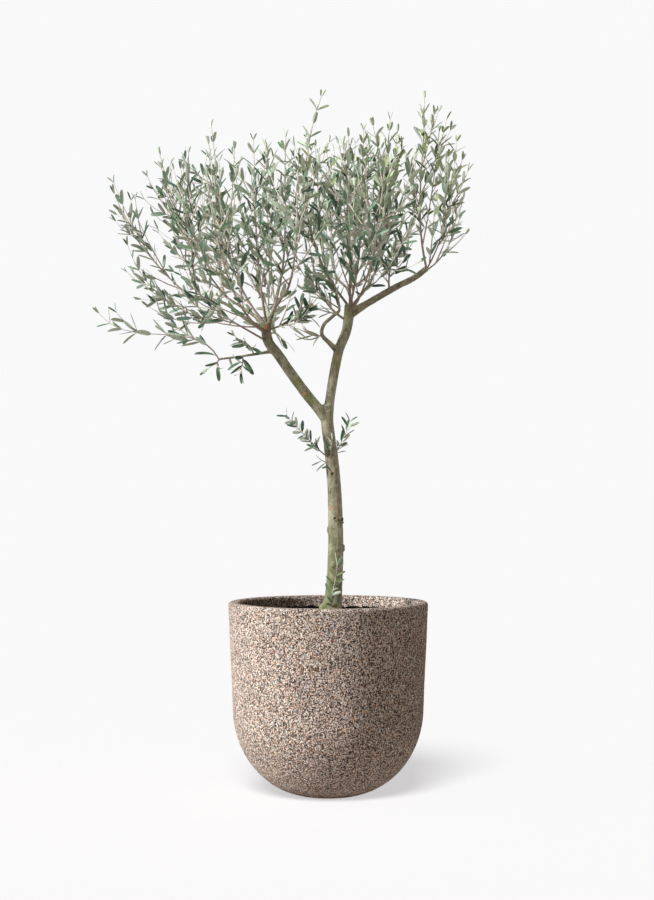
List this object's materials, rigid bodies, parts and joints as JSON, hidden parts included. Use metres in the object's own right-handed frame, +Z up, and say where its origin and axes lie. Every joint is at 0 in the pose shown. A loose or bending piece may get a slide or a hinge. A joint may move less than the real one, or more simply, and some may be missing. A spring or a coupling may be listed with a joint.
{
  "type": "potted olive tree",
  "caption": "Young olive tree with a forked trunk and a broad, airy crown, in a tapered round pot with a bowl-shaped foot.",
  "frame": {"origin": "centre of the flat underside of the pot", "axes": "+Z up along the pot's axis, +X to the viewer's right in the front view, +Y to the back"},
  "size_m": [0.8057, 0.6424, 1.5136],
  "materials": {
    "pot": "matte",
    "soil": "matte",
    "bark": "matte",
    "foliage": "satin"
  },
  "bodies": {
    "root": {"pot": "pot", "soil": "soil", "trunk": "bark", "left_bough": "bark", "right_bough": "bark", "far_right_bough": "bark", "left_reach_branch": "bark", "left_back_branch": "bark", "low_left_branch": "bark", "inner_branch": "bark", "back_branch": "bark", "front_branch": "bark", "far_left_spray": "foliage", "low_left_foliage": "foliage", "low_left_tuft": "foliage", "low_left_sprig": "foliage", "left_sweep_foliage": "foliage", "left_far_foliage": "foliage", "left_crest_foliage": "foliage", "left_high_foliage": "foliage", "left_top_foliage": "foliage", "mid_left_foliage": "foliage", "mid_high_foliage": "foliage", "mid_low_foliage": "foliage", "neck_sprig": "foliage", "tallest_foliage": "foliage", "mid_right_foliage": "foliage", "right_crest_foliage": "foliage", "right_top_foliage": "foliage", "right_tall_foliage": "foliage", "right_low_foliage": "foliage", "right_outer_foliage": "foliage", "right_edge_foliage": "foliage", "front_left_foliage": "foliage", "front_mid_foliage": "foliage", "front_right_foliage": "foliage", "back_left_foliage": "foliage", "back_mid_foliage": "foliage", "back_right_foliage": "foliage", "inner_low_foliage": "foliage", "inner_high_foliage": "foliage", "inner_green_foliage": "foliage", "low_front_foliage": "foliage", "low_back_foliage": "foliage", "left_trunk_sprout": "foliage", "right_trunk_sprout": "foliage", "front_trunk_sprout": "foliage", "low_trunk_sprig": "foliage", "foot_sprout": "foliage"}
  },
  "joints": []
}
